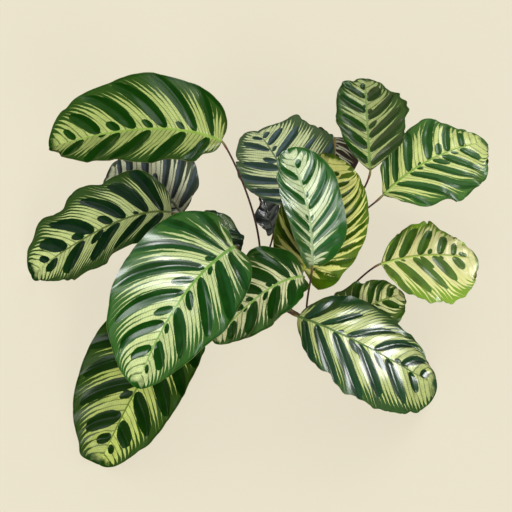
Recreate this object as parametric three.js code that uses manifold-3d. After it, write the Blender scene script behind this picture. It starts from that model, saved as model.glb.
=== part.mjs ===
// Prayer plant with peacock-patterned leaves, lifted from its soil, cut clear of its roots and set
// down on a table. Two shoots on one creeping rootstock carry the leaves, each on a wiry stalk.
// It rests on the flat underside of the rootstock and on the tips of its lowest leaves.
// Millimetres, +Z up. The origin is the foot of the main shoot, on the surface that it rests on.

import * as THREE from 'three';
import { mergeVertices } from 'three/addons/utils/BufferGeometryUtils.js';
import Module from 'manifold-3d';

// Blade: how thick it is, how far its midrib stands out below, and how blunt its two ends are
const BLADE_THICKNESS = 0.9;
const MIDRIB_DEPTH = 1.2;
const BLUNT_END = 0.8;
const LOBE_REACH = 1.6;
const CELLS_ALONG = 14;
const CELLS_ACROSS = 6;

// Stalk: a wiry petiole of one thickness, standing in a plain hole in the rootstock
const STALK_RADIUS = 1.4;
const STALK_SIDES = 6;
const STALK_STEPS = 12;
const STALK_FOOT_HEIGHT = 10;
const STALK_TO_BLADE_GAP = 0.35;
const HOLE_CLEARANCE = 0.5;
const HOLE_LENGTH = 20;

// Rootstock: two knobs with flat undersides, and the runner that joins them
const SHOOT_CENTRES = { main: [0, 0, 0], side: [53, -44, 0] };
const MAIN_KNOB = [[0, 0], [21, 0], [23, 5], [22, 11], [17, 16], [9, 19], [0, 20]];
const SIDE_KNOB = [[0, 0], [10, 0], [12, 4], [11, 10], [7, 15], [0, 16.5]];
const KNOB_SIDES = 16;
const RUNNER_ROUTE = [[14, -12, 4.5], [33, -22, 4], [44, -30, 4], [48, -38, 4.5]];
const RUNNER_RADIUS = 2.6;
const RUNNER_SIDES = 8;
const RUNNER_STEPS = 8;

// Leaves. The midrib is a curve from base, drawn towards bend, to tip.
// left and right: the blade's widest half-widths, seen from its base with the face up.
// fold: degrees that each half rises from the midrib; curl: degrees that it bends back down.
// roll: degrees that the blade leans round its midrib; twist: how much that changes to the tip.
// lobe and skew: how far the shoulders reach back past the base, and the right more than the left.
// shoulder and point: how quickly the blade widens from its base and narrows to its tip.
// ripple: waves of the margin as [waves, height, phase in degrees].
// Stalk: the shoot it grows from, its hole as [radius, degrees], the knee that it is drawn towards,
// and lead, the length over which it turns into line with the midrib.
const LEAVES = [
  // Large, highest of all, far out on the left
  { base: [-39, 48, 200], bend: [-97, 52, 235], tip: [-216, 83, 150], left: 48, right: 52,
    fold: 29, curl: -10, roll: 24, twist: -3, lobe: 0, skew: 3, shoulder: 0.53, point: 0.63,
    ripple: [3, 3, 200], shoot: 'main', hole: [16, 110], knee: [10, 16, 90], lead: 16 },
  // Under the first, half hidden
  { base: [-82, 29, 112], bend: [-105, 50, 144], tip: [-165, 86, 100], left: 44, right: 48,
    fold: 16, curl: 9, roll: 16, twist: 12, lobe: 2, skew: -2, shoulder: 0.5, point: 0.59,
    ripple: [3, 3, 60], shoot: 'main', hole: [16, 145], knee: [-23, 12, 61], lead: 27 },
  // Long, drooping to the table on the left
  { base: [-89, 8, 140], bend: [-132, 1, 165], tip: [-255, 28, 0.7], left: 42, right: 49,
    fold: 16, curl: 8, roll: 18, twist: 48, lobe: -2, skew: 4, shoulder: 0.46, point: 0.51,
    ripple: [3, 4, 50], shoot: 'main', hole: [16, 180], knee: [-27, 1, 75], lead: 33 },
  // The broad one at the front
  { base: [-26, -51, 165], bend: [-77, -102, 184], tip: [-119, -150, 75], left: 50, right: 64,
    fold: 22, curl: 1, roll: 17, twist: -2, lobe: 12, skew: 6, shoulder: 0.53, point: 0.72,
    ripple: [3, 2, 50], shoot: 'main', hole: [16, 250], knee: [-22, -20, 96], lead: 8 },
  // Long, below the broad one, its tip on the table at the front left
  { base: [-75, -69, 80], bend: [-121, -130, 59], tip: [-159, -196, 0.75], left: 53, right: 60,
    fold: 22, curl: 1, roll: 3, twist: 14, lobe: 9, skew: -1, shoulder: 0.47, point: 0.59,
    ripple: [2, 2, 120], shoot: 'main', hole: [16, 215], knee: [-24, -14, 36], lead: 22 },
  // Small and dark, behind the base of the broad one
  { base: [-54, -50, 90], bend: [-40, -28, 126], tip: [-32, 19, 118], left: 34, right: 30,
    fold: 5, curl: 25, roll: -42, twist: 0, lobe: 6, skew: 0, shoulder: 0.53, point: 0.48,
    ripple: [3, 3, 150], shoot: 'main', hole: [7, 200], knee: [-12, -16, 58], lead: 18 },
  // Middle of the front, over the main shoot
  { base: [38, -65, 136], bend: [4, -69, 141], tip: [-48, -93, 62], left: 35, right: 39,
    fold: 21, curl: 2, roll: 10, twist: 23, lobe: 5, skew: -5, shoulder: 0.52, point: 0.68,
    ripple: [3, 4, 350], shoot: 'main', hole: [7, 290], knee: [28, -40, 80], lead: 6 },
  // Broad, leaning away at the back
  { base: [39, 45, 105], bend: [21, 74, 136], tip: [-4, 178, 70], left: 47, right: 60,
    fold: 22, curl: 1, roll: 10, twist: -11, lobe: -5, skew: 6, shoulder: 0.47, point: 0.64,
    ripple: [2, 5, 110], shoot: 'main', hole: [7, 60], knee: [9, 12, 58], lead: 24 },
  // Young, standing upright in the middle
  { base: [49, -37, 115], bend: [49, -7, 175], tip: [24, 42, 195], left: 35, right: 35,
    fold: 27, curl: -7, roll: -12, twist: 29, lobe: 7, skew: 4, shoulder: 0.49, point: 0.54,
    ripple: [2, 3, 170], shoot: 'side', hole: [5, 180], knee: [43, -43, 62], lead: 20 },
  // Wide, standing just behind the upright one
  { base: [42, -19, 80], bend: [53, 9, 131], tip: [68, 68, 158], left: 42, right: 53,
    fold: 24, curl: -3, roll: -15, twist: -37, lobe: 17, skew: 8, shoulder: 0.51, point: 0.56,
    ripple: [2, 2.5, 10], shoot: 'main', hole: [7, 20], knee: [12, -1, 45], lead: 18 },
  // The smallest, low down behind the main shoot
  { base: [13, 51, 50], bend: [7, 52, 76], tip: [0, 78, 85], left: 17, right: 17,
    fold: 11, curl: 16, roll: -29, twist: 3, lobe: 6, skew: 0, shoulder: 0.51, point: 0.59,
    ripple: [2, 6, 220], shoot: 'main', hole: [7, 110], knee: [4, 30, 30], lead: 6 },
  // Arching over and hanging to the table at the back
  { base: [79, 142, 100], bend: [85, 161, 74], tip: [83, 151, 0.1], left: 29, right: 27,
    fold: 18, curl: 7, roll: -3, twist: -4, lobe: 8, skew: 1, shoulder: 0.51, point: 0.6,
    ripple: [3, 4, 20], shoot: 'main', hole: [16, 75], knee: [45, 60, 60], lead: 12 },
  // High at the back on the right
  { base: [106, 41, 165], bend: [102, 79, 195], tip: [106, 146, 185], left: 36, right: 38,
    fold: 19, curl: 5, roll: -11, twist: 13, lobe: -11, skew: 1, shoulder: 0.56, point: 0.61,
    ripple: [2, 4, 250], shoot: 'main', hole: [16, 45], knee: [88, 60, 30], lead: 12 },
  // Far out at the back on the right, with a deeply waved margin
  { base: [122, 38, 130], bend: [161, 65, 165], tip: [238, 118, 120], left: 47, right: 51,
    fold: 6, curl: 24, roll: -2, twist: -22, lobe: -10, skew: 4, shoulder: 0.6, point: 0.56,
    ripple: [3, 7, 0], shoot: 'main', hole: [16, 15], knee: [26, 11, 71], lead: 35 },
  // Round, far out on the right
  { base: [123, -6, 72], bend: [170, -2, 95], tip: [227, 8, 58], left: 45, right: 51,
    fold: 3, curl: 28, roll: -4, twist: 1, lobe: -4, skew: 3, shoulder: 0.58, point: 0.53,
    ripple: [2, 4, 70], shoot: 'side', hole: [5, 60], knee: [92, 0, 8], lead: 16 },
  // Small, between the round one and the one on the table
  { base: [85, -60, 46], bend: [113, -42, 59], tip: [148, -25, 44], left: 31, right: 32,
    fold: 9, curl: 19, roll: -6, twist: 6, lobe: 9, skew: -3, shoulder: 0.47, point: 0.61,
    ripple: [3, 4, 240], shoot: 'side', hole: [5, 300], knee: [60, -50, 28], lead: 11 },
  // Long, drooping to the table on the right
  { base: [35, -82, 92], bend: [84, -119, 121], tip: [180, -111, 0.75], left: 53, right: 53,
    fold: 6, curl: 23, roll: 2, twist: -9, lobe: -2, skew: -12, shoulder: 0.62, point: 0.53,
    ripple: [2, 1.5, 120], shoot: 'main', hole: [16, 320], knee: [6, -28, 50], lead: 24 },
];

const UP = new THREE.Vector3(0, 0, 1);
const radians = THREE.MathUtils.degToRad;
const vector = (xyz) => new THREE.Vector3(...xyz);

// The midrib's point at s (0 at the base, 1 at the tip), with the way along it, the way out to the
// leaf's right, and the way up out of its face.
function midribFrame(leaf, s) {
  const first = vector(leaf.base).lerp(vector(leaf.bend), s);
  const second = vector(leaf.bend).lerp(vector(leaf.tip), s);
  const centre = first.clone().lerp(second, s);
  const along = second.sub(first).normalize();
  const level = vector(leaf.tip).sub(vector(leaf.base)).setZ(0).cross(UP).normalize();
  const right = level.addScaledVector(along, -level.dot(along)).normalize();
  right.applyAxisAngle(along, -radians(leaf.roll + leaf.twist * (s - 0.5)));
  const face = right.clone().cross(along);
  return { centre, along, right, face };
}

// How full the blade is at s: 1 where it is widest, 0 at both ends.
function fullness(leaf, s) {
  const widest = leaf.shoulder / (leaf.shoulder + leaf.point);
  return (s / widest) ** leaf.shoulder * ((1 - s) / (1 - widest)) ** leaf.point;
}

// A point of the blade's upper face. across runs from -1 at the left margin to 1 at the right.
function bladePoint(leaf, s, across) {
  const { centre, right, face } = midribFrame(leaf, s);
  const side = across < 0 ? -1 : 1;
  const outward = Math.abs(across);
  const full = fullness(leaf, s);
  const distance = ((side < 0 ? leaf.left : leaf.right) * full + BLUNT_END) * outward;
  const slope = radians(leaf.fold - leaf.curl * outward / 2);
  const [waves, height, phase] = leaf.ripple;
  const turn = 2 * Math.PI * waves * s + radians(side < 0 ? phase : phase + 90);
  const rise = distance * Math.sin(slope) + height * outward ** 3 * Math.sin(turn) * full;
  const reach = LOBE_REACH * (leaf.lobe + side * leaf.skew) * outward ** 2 * full * (1 - s) ** 3;
  return centre
    .addScaledVector(right, side * distance * Math.cos(slope))
    .addScaledVector(face, rise)
    .addScaledVector(midribFrame(leaf, 0).along, -reach);
}

// The blade is a flat grid bent into its upper face, a copy of the grid for the lower face, split
// into triangles alike, and a rim that joins the two.
function bladeGeometry(leaf) {
  const grid = new THREE.PlaneGeometry(1, 1, CELLS_ACROSS, CELLS_ALONG);
  const places = grid.getAttribute('uv');
  const count = places.count;
  const positions = new Float32Array(2 * count * 3);
  for (let i = 0; i < count; i += 1) {
    const s = (1 - Math.cos(Math.PI * places.getY(i))) / 2;
    const across = 2 * places.getX(i) - 1;
    const rib = Math.abs(across) < 1e-6 ? MIDRIB_DEPTH * (1 - s) : 0;
    const top = bladePoint(leaf, s, across);
    top.toArray(positions, 3 * i);
    top.addScaledVector(midribFrame(leaf, s).face, -BLADE_THICKNESS - rib);
    top.toArray(positions, 3 * (i + count));
  }

  const faces = Array.from(grid.index.array);
  for (let i = 0; i < grid.index.count; i += 3) {
    const [a, b, c] = grid.index.array.slice(i, i + 3);
    faces.push(a + count, c + count, b + count);
  }
  const rim = rimOfGrid();
  rim.forEach((here, i) => {
    const next = rim[(i + 1) % rim.length];
    faces.push(here, here + count, next + count, here, next + count, next);
  });

  const blade = new THREE.BufferGeometry();
  blade.setAttribute('position', new THREE.BufferAttribute(positions, 3));
  blade.setIndex(faces);
  blade.computeVertexNormals();
  return blade;
}

// The grid's outer vertices, in order round it and anticlockwise seen from above.
function rimOfGrid() {
  const row = CELLS_ACROSS + 1;
  const last = CELLS_ALONG * row;
  const rim = [];
  for (let i = 0; i < CELLS_ACROSS; i += 1) rim.push(last + i);
  for (let i = CELLS_ALONG; i > 0; i -= 1) rim.push(i * row + CELLS_ACROSS);
  for (let i = CELLS_ACROSS; i > 0; i -= 1) rim.push(i);
  for (let i = 0; i < CELLS_ALONG; i += 1) rim.push(i * row);
  return rim;
}

// A round shape as a polygon, for sections that are carried along a curve.
function roundSection(radius, sides) {
  const corners = Array.from({ length: sides }, (_, i) => {
    const turn = 2 * Math.PI * i / sides;
    return new THREE.Vector2(radius * Math.cos(turn), radius * Math.sin(turn));
  });
  return new THREE.Shape(corners);
}

// Where the stalk stands: the point at the bottom of its hole.
function stalkFoot(leaf) {
  const [radius, bearing] = leaf.hole;
  const turn = radians(bearing);
  const step = new THREE.Vector3(radius * Math.cos(turn), radius * Math.sin(turn), STALK_FOOT_HEIGHT);
  return vector(SHOOT_CENTRES[leaf.shoot]).add(step);
}

// From the foot towards the knee, and into the blade's base in line with the midrib.
function stalkRoute(leaf) {
  const { along } = midribFrame(leaf, 0);
  const end = vector(leaf.base).addScaledVector(along, -STALK_TO_BLADE_GAP);
  const turnIn = vector(leaf.base).addScaledVector(along, -leaf.lead);
  return new THREE.CubicBezierCurve3(stalkFoot(leaf), vector(leaf.knee), turnIn, end);
}

function stalkGeometry(leaf) {
  return new THREE.ExtrudeGeometry(roundSection(STALK_RADIUS, STALK_SIDES), {
    extrudePath: stalkRoute(leaf), steps: STALK_STEPS, curveSegments: 1, bevelEnabled: false,
  });
}

const wasm = await Module();
wasm.setup();

function solidOf(geometry) {
  const bare = geometry.clone();
  bare.deleteAttribute('normal');
  bare.deleteAttribute('uv');
  const merged = mergeVertices(bare);
  return new wasm.Manifold(new wasm.Mesh({
    numProp: 3,
    vertProperties: new Float32Array(merged.getAttribute('position').array),
    triVerts: new Uint32Array(merged.index.array),
  }));
}

function geometryOf(solid) {
  const mesh = solid.getMesh();
  const geometry = new THREE.BufferGeometry();
  geometry.setAttribute('position', new THREE.BufferAttribute(mesh.vertProperties, 3));
  geometry.setIndex(new THREE.BufferAttribute(mesh.triVerts, 1));
  geometry.computeVertexNormals();
  return geometry;
}

// A turned knob that stands on the table at one shoot's centre.
function knobGeometry(outline, centre) {
  const profile = outline.map(([x, y]) => new THREE.Vector2(x, y));
  const knob = new THREE.LatheGeometry(profile, KNOB_SIDES);
  return knob.rotateX(Math.PI / 2).translate(...centre);
}

function runnerGeometry() {
  const route = new THREE.CatmullRomCurve3(RUNNER_ROUTE.map(vector));
  return new THREE.ExtrudeGeometry(roundSection(RUNNER_RADIUS, RUNNER_SIDES), {
    extrudePath: route, steps: RUNNER_STEPS, curveSegments: 1, bevelEnabled: false,
  });
}

// The hole that a stalk stands in, drilled from just under its foot along its first stretch.
function holeGeometry(leaf) {
  const foot = stalkFoot(leaf);
  const aim = stalkRoute(leaf).getPointAt(1 / STALK_STEPS).sub(foot).normalize();
  const hole = new THREE.CylinderGeometry(
    STALK_RADIUS + HOLE_CLEARANCE, STALK_RADIUS + HOLE_CLEARANCE, HOLE_LENGTH, STALK_SIDES + 2);
  const turn = new THREE.Quaternion().setFromUnitVectors(new THREE.Vector3(0, 1, 0), aim);
  hole.applyQuaternion(turn);
  const middle = foot.addScaledVector(aim, HOLE_LENGTH / 2 - HOLE_CLEARANCE);
  return hole.translate(middle.x, middle.y, middle.z);
}

function rootstockGeometry() {
  let stock = solidOf(knobGeometry(MAIN_KNOB, SHOOT_CENTRES.main))
    .add(solidOf(knobGeometry(SIDE_KNOB, SHOOT_CENTRES.side)))
    .add(solidOf(runnerGeometry()));
  for (const leaf of LEAVES) {
    stock = stock.subtract(solidOf(holeGeometry(leaf)));
  }
  return geometryOf(stock);
}

const bladeGreen = new THREE.MeshStandardMaterial({ color: 0x4f7a35, roughness: 0.35, metalness: 0 });
const stalkBrown = new THREE.MeshStandardMaterial({ color: 0x5a4038, roughness: 0.5, metalness: 0 });
const rootBrown = new THREE.MeshStandardMaterial({ color: 0x6b4f35, roughness: 0.8, metalness: 0 });

function namedMesh(name, geometry, material) {
  const mesh = new THREE.Mesh(geometry, material);
  mesh.name = name;
  return mesh;
}

const plant = new THREE.Group();
plant.name = 'prayer_plant';
plant.add(namedMesh('rootstock', rootstockGeometry(), rootBrown));
LEAVES.forEach((leaf, i) => {
  const number = String(i + 1).padStart(2, '0');
  plant.add(namedMesh(`blade_${number}`, bladeGeometry(leaf), bladeGreen));
  plant.add(namedMesh(`stalk_${number}`, stalkGeometry(leaf), stalkBrown));
});

export default plant;
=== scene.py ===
from math import cos, pi, radians, sin

import bpy
import numpy as np
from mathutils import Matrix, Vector


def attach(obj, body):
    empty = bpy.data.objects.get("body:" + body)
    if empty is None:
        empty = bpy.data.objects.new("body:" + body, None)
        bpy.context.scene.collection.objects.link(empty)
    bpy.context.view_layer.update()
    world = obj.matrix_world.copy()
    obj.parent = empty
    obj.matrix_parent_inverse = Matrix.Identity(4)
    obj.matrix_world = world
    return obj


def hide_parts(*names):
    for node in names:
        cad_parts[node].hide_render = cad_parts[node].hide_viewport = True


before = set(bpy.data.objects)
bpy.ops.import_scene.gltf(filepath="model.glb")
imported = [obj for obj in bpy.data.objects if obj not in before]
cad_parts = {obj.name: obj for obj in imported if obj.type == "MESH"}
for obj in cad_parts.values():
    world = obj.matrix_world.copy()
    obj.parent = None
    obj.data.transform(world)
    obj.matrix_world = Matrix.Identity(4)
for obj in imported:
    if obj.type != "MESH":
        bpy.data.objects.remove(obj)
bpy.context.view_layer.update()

# The camera looks down on the plant from in front of it, 55 degrees up and 1 m away.
# Its lens of 70 mm takes in about half a metre of foliage, tip to tip.
MM = 0.001
CAMERA_TARGET = Vector((-6, -16, 100)) * MM
CAMERA_DISTANCE = 1.0
CAMERA_AZIMUTH = 180
CAMERA_ELEVATION = 55
CAMERA_LENS = 70.3
CAMERA_SENSOR = 36


def from_target(distance, azimuth, elevation):
    """The point that many metres from the camera's target, in that direction in degrees.
    Azimuth 0 is behind the plant, and 90 to its right."""
    turn, climb = radians(azimuth), radians(elevation)
    way = Vector((cos(climb) * sin(turn), cos(climb) * cos(turn), sin(climb)))
    return CAMERA_TARGET + distance * way


def aimed(name, data, place):
    """A camera or light at that place, turned so that it looks at the camera's target."""
    thing = bpy.data.objects.new(name, data)
    thing.location = place
    thing.rotation_euler = (CAMERA_TARGET - place).to_track_quat("-Z", "Y").to_euler()
    bpy.context.scene.collection.objects.link(thing)
    return thing


lens = bpy.data.cameras.new("camera")
lens.lens = CAMERA_LENS
lens.sensor_width = CAMERA_SENSOR
eye = from_target(CAMERA_DISTANCE, CAMERA_AZIMUTH, CAMERA_ELEVATION)
bpy.context.scene.camera = aimed("camera", lens, eye)

# The 17 leaf blades. Each is a thin, glossy sheet of living leaf, arched along its midrib and
# pleated by the veins that run from the midrib to its margin. It grows from its stalk's end.

# The table of leaves, in millimetres and degrees, with left and right as seen from the base.
# base, bend, tip: the midrib runs from base, drawn towards bend, to tip.
# width: the left and the right half's, at the widest.
# fold: how far both halves rise from the midrib, and how far they bend back.
# roll: how far the blade leans, and how much more at its tip than at its base.
# lobe: how far the shoulders reach back past the base, and the right one more than the left.
# taper: how quickly the blade widens from its base and narrows to its tip.
# ripple: the margin's slow waves, as (waves, height, phase).
# shoot, hole, knee, lead: the shoot, if not the main one, and the hole (radius, bearing) that the
# stalk stands in, where its bend is drawn to, and how far before the base it comes into line.
# sweep: how far the veins lean towards the tip, a pair. edge: the scallops' depth, a pair.
# comb: where the dark veins start to widen outwards, where they have joined, and how strong
# they and the weave of finer ones are near the midrib.
# gloss: how much of the wax's full shine the leaf has.
# half_shade: how much of a painted shade, a duller colour for a half that is turned from the
# light, lies over the left, and over the right.
# colours: pale ground, blotches, margin, a painted sheen for one half of a blotch, and the midrib's
# line.
# under: the underside's pale and dark.
# These are pairs too, in thousandths of the midrib's length or of the way out to the margin:
# deep: where the dark margin reaches further in, as (where, how far, half-length).
# nicks: bumps and dents of the margin, as (where, how far out in mm, half-length).
# long: long blotches, as (where the vein leaves the midrib, half-width), with how far out they
# reach where they don't run into the dark margin, and how far they lean past their vein.
# short: short blotches, as (where the vein leaves the midrib, how far out they reach).
# Several leaves' colours hold painted light: leaves 2, 8 and 11 are greyer and bluer for a painted
# reflection of the sky, leaves 6 and 11 darker for painted shade, leaf 10 golden for painted light
# shining through it, and leaves 7 and 8 paler to make up for the shade they lie in.
LEAVES = [
    dict(base=(-39, 48, 200), bend=(-97, 52, 235), tip=(-216, 83, 150), width=(48, 52),
         fold=(29, -10), roll=(24, -3), lobe=(0, 3), taper=(0.53, 0.63), ripple=(3, 3, 200),
         hole=(16, 110), knee=(12, 16, 90), lead=6, sweep=(0.3, 0.65), edge=(0.3, 0.4),
         comb=(0.3, 0.94, 0.7), gloss=0.12, deep=([], [(100, 120, 200)]),
         colours=("#BECC78", "#0E3604", "#1A440A", "#2A4A1C", "#8FB04A"),
         nicks=([(90, -3.5, 50), (150, 3, 30), (960, -8, 70)], [(900, 2.5, 70), (850, -2, 30)]),
         long=([(100, 35), (270, 50), (480, 50), (650, 52), (840, 40)],
               [(70, 22, 950), (195, 42), (385, 52, 960), (565, 54, 920), (755, 44, 780),
                (875, 22, 500)]),
         short=([(725, 100)], [(275, 170), (465, 180), (650, 240)])),
    dict(base=(-82, 29, 112), bend=(-105, 50, 144), tip=(-165, 86, 100), width=(44, 48),
         fold=(16, 9), roll=(16, 12), lobe=(2, -2), taper=(0.5, 0.59), ripple=(3, 3, 60),
         hole=(16, 145), knee=(-23, 12, 61), lead=27, sweep=(0.7, 0.6), edge=(0.6, 0.8),
         comb=(0.4, 0.92, 0.7), gloss=0.3,
         colours=("#E6EAC4", "#303C38", "#32422A", "#56626A", "#5A6A4A"),
         nicks=([], [(40, -4, 40), (880, -4, 80)]),
         long=([(80, 30), (200, 36), (360, 40), (540, 42), (720, 40)],
               [(60, 34), (200, 36), (340, 38), (570, 40), (750, 40), (860, 25)]),
         short=([(280, 120), (450, 220), (630, 250)], [(450, 300), (660, 200)])),
    dict(base=(-89, 8, 140), bend=(-132, 1, 165), tip=(-255, 28, 0.7), width=(42, 49),
         fold=(16, 8), roll=(18, 48), lobe=(-2, 4), taper=(0.46, 0.51), ripple=(3, 4, 50),
         hole=(16, 180), knee=(-27, 1, 75), lead=33, sweep=(0.5, 0.8), edge=(0.9, 0.8),
         comb=(0.3, 0.94, 0.7), gloss=0.12,
         colours=("#D2E094", "#0B2612", "#193E0A", "#26382C", "#566A2E"),
         nicks=([(370, 5, 50), (690, 5, 35), (830, -3, 30), (900, -4, 40), (960, -5, 30)],
                [(510, -5.5, 50), (730, -5, 40), (840, 8, 40)]),
         long=([(100, 45), (250, 55, 880), (460, 70, 760), (695, 60, 760), (865, 40, 440)],
               [(90, 45), (225, 50, 860), (400, 50, 770), (615, 55, 840), (790, 50, 680),
                (895, 22, 360)]),
         short=([(560, 300)], [(300, 100), (490, 270), (680, 220)])),
    dict(base=(-26, -51, 165), bend=(-77, -102, 184), tip=(-119, -150, 75), width=(50, 64),
         fold=(22, 1), roll=(17, -2), lobe=(12, 6), taper=(0.53, 0.72), ripple=(3, 2, 50),
         hole=(16, 250), knee=(-22, -20, 96), lead=8, sweep=(0.7, 0.95), edge=(0.4, 0.7),
         comb=(0.3, 0.93, 0.7), gloss=0.75,
         colours=("#DAE8A2", "#0A3602", "#1A560E", "#245426", "#6FA03C"),
         nicks=([(470, 4, 80)], [(30, -5, 20), (120, -1.5, 50), (770, 2, 60)]),
         long=([(50, 25), (160, 45), (325, 50, 880), (555, 55, 800), (765, 50, 620),
                (890, 20, 250)],
               [(18, 10), (66, 15), (140, 22), (260, 43, 930), (455, 45, 860), (655, 45, 780),
                (800, 35, 480)]),
         short=([(230, 150), (435, 300), (655, 150)], [(170, 150), (360, 270), (565, 250)])),
    dict(base=(-75, -69, 80), bend=(-121, -130, 59), tip=(-159, -196, 0.75), width=(53, 60),
         fold=(22, 1), roll=(3, 14), lobe=(9, -1), taper=(0.47, 0.59), ripple=(2, 2, 120),
         hole=(16, 215), knee=(-24, -14, 36), lead=22, sweep=(0.58, 0.83), edge=(0.5, 0.4),
         comb=(0.3, 0.93, 0.7), gloss=0.06, half_shade=(0, 0.3, "#101C02"),
         colours=("#CEDC74", "#0A2802", "#184006", "#1C3610", "#5C722A"),
         nicks=([(190, 2, 30), (610, -2, 40), (820, -2, 40), (890, -1.5, 60)], [(970, 7, 30)]),
         long=([(100, 40), (220, 45), (370, 60, 920), (570, 60, 820), (760, 60, 600),
                (890, 25, 300)],
               [(80, 30), (180, 40), (320, 50, 920), (500, 55, 860), (720, 60, 700),
                (845, 35, 380)]),
         short=([(300, 120), (470, 120)], [(250, 150), (410, 200), (575, 200)])),
    dict(base=(-54, -50, 90), bend=(-40, -28, 126), tip=(-32, 19, 118), width=(34, 30),
         fold=(5, 25), roll=(-42, 0), lobe=(6, 0), taper=(0.53, 0.48), ripple=(3, 3, 150),
         hole=(7, 200), knee=(-12, -16, 58), lead=18, sweep=(0.7, 0.7), edge=(0.8, 0.8),
         comb=(0.3, 0.85, 0.5), gloss=0.3,
         colours=("#62764A", "#16301C", "#203E22", "#2C483A", "#5A7040"),
         nicks=([(870, 4, 50)], [(930, 9, 50)]),
         long=([(80, 35), (200, 45), (380, 55), (580, 55), (760, 50)],
               [(80, 35), (220, 50), (420, 55), (620, 55), (800, 45)]),
         short=([(290, 150), (480, 200)], [(320, 150), (520, 200)])),
    dict(base=(38, -65, 136), bend=(4, -69, 141), tip=(-48, -93, 62), width=(35, 39),
         fold=(21, 2), roll=(10, 23), lobe=(5, -5), taper=(0.52, 0.68), ripple=(3, 4, 350),
         hole=(7, 290), knee=(28, -40, 80), lead=6, sweep=(0.46, 0.7), edge=(0.6, 0.4),
         comb=(0.3, 0.92, 0.7), gloss=0.5, half_shade=(0, 0.26, "#101C02"),
         deep=([(50, 900, 180)], [(50, 900, 170)]),
         colours=("#FCFFC0", "#123C06", "#20520E", "#244C20", "#88B050"),
         nicks=([(110, -3, 30), (200, -2.5, 60), (270, -1.5, 30), (420, 2.5, 40), (520, 2, 100),
                 (700, 3, 50)],
                []),
         long=([(140, 52, 900), (340, 75, 860), (600, 68, 850), (820, 52, 760)],
               [(70, 30), (170, 50, 880), (330, 58, 880), (500, 55, 850), (700, 50, 800),
                (850, 30, 550)]),
         short=([(455, 250), (680, 100)], [(385, 150), (595, 170)])),
    dict(base=(39, 45, 105), bend=(21, 74, 136), tip=(-4, 178, 70), width=(47, 60),
         fold=(22, 1), roll=(10, -11), lobe=(-5, 6), taper=(0.47, 0.64), ripple=(2, 5, 110),
         hole=(7, 60), knee=(9, 12, 58), lead=24, sweep=(0.2, 0.55), edge=(0.6, 1.4),
         comb=(0.45, 0.95, 0.6), gloss=0.15,
         colours=("#F4FFC0", "#324840", "#405C38", "#61747A", "#667E5A"),
         nicks=([(300, 2, 40), (370, 1.5, 40), (560, -5, 35), (620, -2, 30)],
                [(380, 3, 30), (670, -2.5, 40), (800, 3.5, 30), (910, -4, 30)]),
         long=([(60, 30), (170, 45), (300, 40), (470, 55, 860), (720, 50, 800, 70),
                (885, 30, 500)],
               [(140, 40), (360, 40, 800), (610, 50, 800), (785, 45, 620), (895, 30, 360)]),
         short=([(560, 330)], [(250, 120), (490, 150), (690, 150)])),
    dict(base=(49, -37, 115), bend=(49, -7, 175), tip=(24, 42, 195), width=(35, 35),
         fold=(27, -7), roll=(-12, 29), lobe=(7, 4), taper=(0.49, 0.54), ripple=(2, 3, 170),
         shoot="side", hole=(5, 180), knee=(43, -43, 62), lead=20, sweep=(0.75, 0.87),
         edge=(0.4, 0.5), comb=(0.35, 0.88, 0.7), gloss=0.7,
         deep=([(100, 300, 180), (880, 100, 100)], [(150, 350, 200), (880, 120, 100)]),
         colours=("#E0ECBC", "#184A12", "#265E1E", "#386C44", "#A6BE8A"),
         long=([(100, 32, 950), (200, 30, 900), (300, 45, 840), (525, 50, 840), (740, 45, 760)],
               [(70, 30, 850), (170, 30, 850), (270, 35, 850), (470, 50, 840), (680, 45, 760),
                (840, 35, 300)]),
         short=([(385, 150)], [(370, 120), (570, 120)])),
    dict(base=(42, -19, 80), bend=(53, 9, 131), tip=(68, 68, 158), width=(42, 53),
         fold=(24, -3), roll=(-15, -37), lobe=(17, 8), taper=(0.51, 0.56), ripple=(2, 2.5, 10),
         hole=(7, 20), knee=(12, -1, 45), lead=18, sweep=(1.5, 1.6), edge=(0.6, 0.9),
         comb=(0.7, 1.0, 0.5), gloss=0.15, half_shade=(0.4, 0, "#141E04"),
         deep=([(0, 500, 100)], [(0, 700, 120)]),
         colours=("#F0F08C", "#284602", "#446604", "#304C04", "#A8B040"),
         nicks=([], [(30, 3.5, 30), (220, -2, 40)]),
         long=([(22, 8), (70, 14), (130, 20), (200, 25), (290, 35, 900), (420, 45, 800),
                (600, 50, 700), (780, 45, 500)],
               [(10, 4), (36, 8), (75, 12, 980), (128, 16, 950), (200, 20, 920), (300, 26, 900),
                (430, 30, 860), (580, 30, 780), (720, 30, 660), (840, 24, 400)]),
         short=([(235, 100), (360, 150)], [(300, 120), (460, 150), (640, 150)])),
    dict(base=(13, 51, 50), bend=(7, 52, 76), tip=(0, 78, 85), width=(17, 20),
         fold=(11, 16), roll=(-29, 3), lobe=(3, 0), taper=(0.51, 0.59), ripple=(2, 2.5, 220),
         hole=(7, 110), knee=(4, 30, 30), lead=6, sweep=(0.6, 0.6), edge=(0.3, 0.3),
         comb=(0.55, 1.0, 0.3), gloss=0.3,
         colours=("#8E9A9A", "#3A4446", "#4A5658", "#6A787C", "#5A6664"),
         nicks=([(220, -5, 120), (550, 2, 100), (820, -9, 120)], []),
         long=([(100, 50), (300, 70), (550, 70), (780, 50)],
               [(100, 50), (320, 70), (580, 70), (800, 50)]),
         short=([(420, 200)], [(450, 200)])),
    dict(base=(79, 142, 100), bend=(85, 161, 74), tip=(83, 151, 0.1), width=(29, 27),
         fold=(18, 7), roll=(-3, -4), lobe=(8, 1), taper=(0.51, 0.6), ripple=(3, 4, 20),
         hole=(16, 75), knee=(45, 60, 60), lead=12, sweep=(0.6, 0.6), edge=(1.0, 1.0),
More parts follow.
